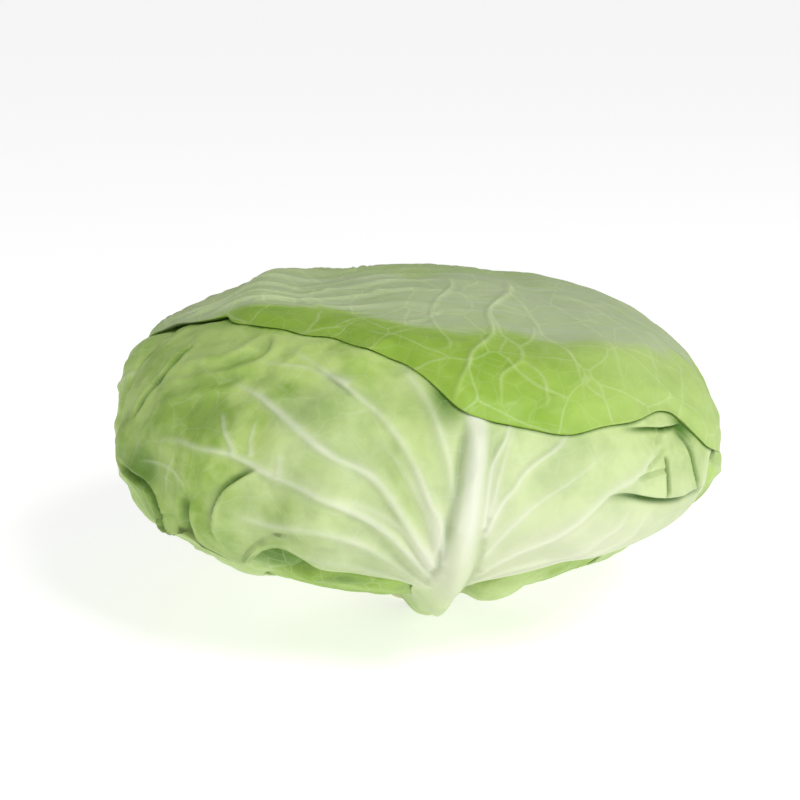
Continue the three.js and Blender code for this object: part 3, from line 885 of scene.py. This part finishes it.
def inner_head_piece():
    rows, columns = 90, 180
    share = np.linspace(0, 1, rows + 1)[1:-1, None]
    theta = np.broadcast_to(np.arange(columns) * 360 / columns, (rows - 1, columns))
    beta = np.broadcast_to(between(0, 180, share), theta.shape)
    ring = direction(theta, beta) * head_radius(theta, beta)[..., None]
    ring = ring + direction(theta, beta) * (0.5 * layered_noise(ring, 24, 91) - 0.5)[..., None]
    poles = [[0, 0, -head_radius(0.0, 0.0)], [0, 0, head_radius(0.0, 180.0)]]
    vertices = np.concatenate([ring.reshape(-1, 3), poles])
    vertices[:, 2] += WIDEST_Z
    faces = []
    for j in range(rows - 2):
        for i in range(columns):
            a, b = j * columns + i, j * columns + (i + 1) % columns
            faces.append([a, b, b + columns, a + columns])
    bottom, top = len(vertices) - 2, len(vertices) - 1
    last = (rows - 2) * columns
    for i in range(columns):
        after = (i + 1) % columns
        faces.append([bottom, after, i])
        faces.append([top, last + i, last + after])
    flat = np.zeros(len(vertices))
    return make_mesh(
        "inner_head_grown", vertices, faces, {"vein": flat, "pale": flat + 0.8, "deep_green_and_shade": flat, "bloom_and_sheen": flat}
    )


def stalk_piece():
    """The cut stub: a slightly uneven round, with a soft pith in the cut face."""
    low, high = (np.array(corner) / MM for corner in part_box("stalk"))
    radius, bevel, sides = (high[0] - low[0]) / 2, 1.6, 96
    profile = [
        (0.0, 0.5), (0.2, 0.45), (0.32, 0.3), (0.38, 0.08), (0.48, 0.0), (0.6, 0.0), (0.66, 0.0),
        (0.71, 0.4), (0.74, 1.0), (0.76, bevel + 0.4), (0.82, 4.0), (0.94, 8.0), (1.0, 12.0), (1.0, high[2]),
        (0.5, high[2]),
    ]
    vertices = [[0, 0, profile[0][1]]]
    for share, height in profile[1:]:
        for k in range(sides):
            turned = 2 * math.pi * k / sides
            uneven = 1 - 0.02 * share * (1 + math.sin(3 * turned + 1)) - 0.008 * (1 + math.sin(8 * turned))
            across = radius * share * uneven
            vertices.append([across * math.sin(turned), -across * math.cos(turned), height])
    vertices.append([0, 0, high[2]])
    faces = [[0, 1 + (k + 1) % sides, 1 + k] for k in range(sides)]
    for ring in range(len(profile) - 2):
        for k in range(sides):
            a, b = 1 + ring * sides + k, 1 + ring * sides + (k + 1) % sides
            faces.append([a, b, b + sides, a + sides])
    last = 1 + (len(profile) - 2) * sides
    faces += [[len(vertices) - 1, last + k, last + (k + 1) % sides] for k in range(sides)]
    return make_mesh("stalk_cut", np.array(vertices), faces)


# Materials

def linear(red, green, blue):
    """A linear colour from an sRGB one of 0 to 255."""
    def one(value):
        value /= 255
        return value / 12.92 if value <= 0.04045 else ((value + 0.055) / 1.055) ** 2.4
    return (one(red), one(green), one(blue), 1)


class Nodes:
    """A short way to write a node tree."""

    def __init__(self, material):
        material.use_nodes = True
        self.tree = material.node_tree
        self.shader = self.tree.nodes["Principled BSDF"]

    def new(self, kind, **settings):
        node = self.tree.nodes.new(kind)
        for key, value in settings.items():
            setattr(node, key, value)
        return node

    def link(self, output, socket):
        self.tree.links.new(output, socket)

    def mask(self, name):
        return self.new("ShaderNodeAttribute", attribute_name=name).outputs["Fac"]

    def noise(self, scale, detail=3, roughness=0.55, stretch=(1, 1, 1)):
        coordinates = self.new("ShaderNodeTexCoord")
        stretched = self.new("ShaderNodeVectorMath", operation="MULTIPLY")
        stretched.inputs[1].default_value = stretch
        self.link(coordinates.outputs["Object"], stretched.inputs[0])
        texture = self.new("ShaderNodeTexNoise")
        texture.inputs["Scale"].default_value = scale
        texture.inputs["Detail"].default_value = detail
        texture.inputs["Roughness"].default_value = roughness
        self.link(stretched.outputs[0], texture.inputs["Vector"])
        return texture.outputs["Fac"]

    def web(self, size, width):
        """A wavering net of lines, 1 on a line and 0 between: its cell size in mm and line width in cells."""
        coordinates = self.new("ShaderNodeTexCoord")
        wander = self.new("ShaderNodeTexNoise")
        wander.inputs["Scale"].default_value = 0.6 / (size * MM)
        self.link(coordinates.outputs["Object"], wander.inputs["Vector"])
        shifted = self.new("ShaderNodeVectorMath", operation="MULTIPLY_ADD")
        self.link(wander.outputs["Color"], shifted.inputs[0])
        shifted.inputs[1].default_value = (0.6 * size * MM,) * 3
        self.link(coordinates.outputs["Object"], shifted.inputs[2])
        cells = self.new("ShaderNodeTexVoronoi", feature="DISTANCE_TO_EDGE")
        cells.inputs["Scale"].default_value = 1 / (size * MM)
        self.link(shifted.outputs[0], cells.inputs["Vector"])
        return self.spread(cells.outputs["Distance"], 0.3 * width, width, 1.0, 0.0)

    def bumped(self, height, distance, strength, normal=None):
        node = self.new("ShaderNodeBump")
        node.inputs["Strength"].default_value = strength
        node.inputs["Distance"].default_value = distance
        self.link(height, node.inputs["Height"])
        if normal:
            self.link(normal, node.inputs["Normal"])
        return node.outputs["Normal"]

    def spread(self, value, low, high, to_low=0.0, to_high=1.0):
        node = self.new("ShaderNodeMapRange")
        node.inputs["From Min"].default_value = low
        node.inputs["From Max"].default_value = high
        node.inputs["To Min"].default_value = to_low
        node.inputs["To Max"].default_value = to_high
        self.link(value, node.inputs["Value"])
        return node.outputs["Result"]

    def times(self, a, b):
        node = self.new("ShaderNodeMath", operation="MULTIPLY")
        self.link(a, node.inputs[0])
        if isinstance(b, float):
            node.inputs[1].default_value = b
        else:
            self.link(b, node.inputs[1])
        return node.outputs[0]

    def mix(self, share, a, b):
        """Colour a where share is 0 and b where it is 1."""
        node = self.new("ShaderNodeMix", data_type="RGBA")
        for value, name in ((share, "Factor_Float"), (a, "A_Color"), (b, "B_Color")):
            socket = next(s for s in node.inputs if s.identifier == name)
            if isinstance(value, (tuple, float)):
                socket.default_value = value
            else:
                self.link(value, socket)
        return next(s for s in node.outputs if s.identifier == "Result_Color")


def leaf_material(name, green, light, deep_green_and_shade, pale, vein, bloom_and_sheen, web_size, web_strength):
    """Leaf tissue: green mottled with a lighter green, pale near the base, white along the veins, deeper and
    yellower as painted shade in folds, gaps and under margins, with a fine net of veins and a grey waxy
    bloom that also carries a painted sheen."""
    material = bpy.data.materials.new(name)
    nodes = Nodes(material)
    patches = nodes.mix(nodes.spread(nodes.noise(48), 0.42, 0.58), green, light)
    mottled = nodes.mix(nodes.spread(nodes.noise(110, 4), 0.35, 0.75, 0.0, 0.6), patches, light)
    faded = nodes.mix(nodes.mask("pale"), mottled, pale)
    # The deep colour is painted shade, a deeper and yellower green.
    folded = nodes.mix(nodes.mask("deep_green_and_shade"), faded, deep_green_and_shade)
    # The bloom colour in streaks: a grey waxy bloom that also carries a painted sheen.
    streaks = nodes.noise(300, 5, 0.6, stretch=(0.12, 1, 1))
    patchy = nodes.times(nodes.mask("bloom_and_sheen"), nodes.spread(streaks, 0.35, 0.65, 0.62, 0.95))
    with_bloom_and_sheen = nodes.mix(patchy, folded, bloom_and_sheen)
    web, small_web = nodes.web(web_size, 0.03), nodes.web(web_size * 0.42, 0.045)
    webbed = nodes.mix(nodes.times(web, web_strength), with_bloom_and_sheen, vein)
    finer = nodes.mix(nodes.times(small_web, web_strength * 0.4), webbed, vein)
    veined = nodes.mix(nodes.times(nodes.mask("vein"), 0.9), finer, vein)
    nodes.link(veined, nodes.shader.inputs["Base Color"])
    rough = nodes.spread(nodes.noise(120, 4), 0.3, 0.7, 0.46, 0.6)
    nodes.link(rough, nodes.shader.inputs["Roughness"])
    nodes.shader.inputs["Specular IOR Level"].default_value = 0.4
    nodes.shader.inputs["Subsurface Weight"].default_value = 0.12
    nodes.shader.inputs["Subsurface Radius"].default_value = (0.9, 1.0, 0.35)
    nodes.shader.inputs["Subsurface Scale"].default_value = 0.003
    grain = nodes.bumped(nodes.noise(300, 4, 0.6), 0.0005, 0.3)
    ribbed = nodes.bumped(web, 0.0005, 0.5 * web_strength, grain)
    nodes.link(nodes.bumped(small_web, 0.0003, 0.3 * web_strength, ribbed), nodes.shader.inputs["Normal"])
    return material


def stalk_material():
    material = bpy.data.materials.new("stalk_flesh")
    nodes = Nodes(material)
    light, dark = linear(214, 216, 176), linear(192, 200, 146)
    flesh = nodes.mix(nodes.spread(nodes.noise(160, 5), 0.3, 0.7), light, dark)
    nodes.link(flesh, nodes.shader.inputs["Base Color"])
    nodes.shader.inputs["Roughness"].default_value = 0.6
    nodes.shader.inputs["Subsurface Weight"].default_value = 0.15
    nodes.shader.inputs["Subsurface Radius"].default_value = (1.0, 0.9, 0.5)
    nodes.shader.inputs["Subsurface Scale"].default_value = 0.004
    nodes.link(nodes.bumped(nodes.noise(300, 5), 0.0008, 0.5), nodes.shader.inputs["Normal"])
    return material


# Per leaf: green, lighter green, the deep green of painted shade, pale, vein white, the grey bloom with its
# painted sheen, then the net's size and strength.
MATERIALS = {
    "top_leaf": leaf_material(
        "top_leaf", linear(132, 168, 50), linear(148, 182, 68), linear(100, 138, 16),
        linear(190, 206, 146), linear(200, 214, 162), linear(171, 183, 148), 21, 0.22,
    ),
    "front_leaf": leaf_material(
        "front_leaf", linear(138, 170, 68), linear(178, 202, 116), linear(64, 108, 0),
        linear(208, 214, 184), linear(220, 223, 206), linear(196, 208, 170), 12, 0.07,
    ),
    "side_leaf": leaf_material(
        "side_leaf", linear(142, 172, 82), linear(168, 196, 108), linear(80, 122, 8),
        linear(210, 220, 182), linear(212, 222, 180), linear(190, 204, 160), 13, 0.15,
    ),
    "low_leaf": leaf_material(
        "low_leaf", linear(132, 166, 54), linear(156, 188, 84), linear(64, 108, 0),
        linear(196, 212, 156), linear(200, 214, 160), linear(180, 196, 150), 12, 0.22,
    ),
    "inner_leaves": leaf_material(
        "inner_leaves", linear(192, 206, 140), linear(206, 218, 160), linear(140, 170, 60),
        linear(220, 228, 184), linear(230, 236, 206), linear(200, 212, 170), 14, 0.3,
    ),
    "stalk_flesh": stalk_material(),
}
SLOTS = {entry["node"]: entry["material_slot"] for entry in frame["record"]["subparts"]}


def put(piece, node):
    """Gives a piece its node's finish and place in the frame."""
    piece.data.materials.append(MATERIALS[SLOTS[node]])
    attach(piece, "root")
    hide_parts(node)


put(inner_head_piece(), "inner_head")
put(stalk_piece(), "stalk")
put(leaf_piece(low_left_surface()), "low_left_leaf")
put(leaf_piece(low_right_surface()), "low_right_leaf")
put(leaf_piece(side_surface("left_leaf", 141, [FRONT, TOP], LEFT_SWELLS, LEFT_DIP, LEFT_HOLLOW)), "left_leaf")
put(leaf_piece(side_surface("right_leaf", 161, [FRONT, TOP], RIGHT_SWELLS, RIGHT_DIP)), "right_leaf")
put(leaf_piece(front_surface()), "front_leaf")
put(leaf_piece(top_surface()), "top_leaf")


# Floor, light and camera

def add_floor():
    bpy.ops.mesh.primitive_plane_add(size=40, location=(0, 0, 0))
    floor = bpy.context.object
    floor.name = "floor"
    material = bpy.data.materials.new("floor")
    material.use_nodes = True
    shader = material.node_tree.nodes["Principled BSDF"]
    shader.inputs["Base Color"].default_value = (0.62, 0.62, 0.62, 1)
    shader.inputs["Roughness"].default_value = 0.9
    shader.inputs["Emission Color"].default_value = (1, 1, 1, 1)
    shader.inputs["Emission Strength"].default_value = 0.62
    floor.data.materials.append(material)


def add_light(name, place, target, size, power):
    light = bpy.data.lights.new(name, "AREA")
    light.energy, light.size = power, size
    lamp = bpy.data.objects.new(name, light)
    lamp.location = place
    lamp.rotation_euler = (Vector(target) - Vector(place)).to_track_quat("-Z", "Y").to_euler()
    bpy.context.scene.collection.objects.link(lamp)


def add_camera():
    camera = bpy.data.cameras.new("camera")
    camera.lens, camera.sensor_width = 85, 36
    seen = bpy.data.objects.new("camera", camera)
    rise = math.radians(15)
    target = Vector((-5.9, 0, WIDEST_Z + 12)) * MM
    away = Vector((0, -math.cos(rise), math.sin(rise)))
    seen.location = target + away * 0.738
    seen.rotation_euler = (-away).to_track_quat("-Z", "Y").to_euler()
    bpy.context.scene.collection.objects.link(seen)
    bpy.context.scene.camera = seen


middle = (0, 0, WIDEST_Z * MM)
add_floor()
add_light("key", (0.6, -0.9, 1.05), middle, 0.38, 10.5)
add_light("left fill", (-1.1, -1.1, 0.6), middle, 0.9, 3.2)
add_light("right fill", (1.3, -0.7, 0.25), middle, 0.9, 5)
add_camera()
world = bpy.context.scene.world or bpy.data.worlds.new("world")
bpy.context.scene.world = world
world.use_nodes = True
world.node_tree.nodes["Background"].inputs["Color"].default_value = (1, 1, 1, 1)
world.node_tree.nodes["Background"].inputs["Strength"].default_value = 0.45
bpy.context.scene.view_settings.view_transform = "Standard"

bpy.context.view_layer.update()
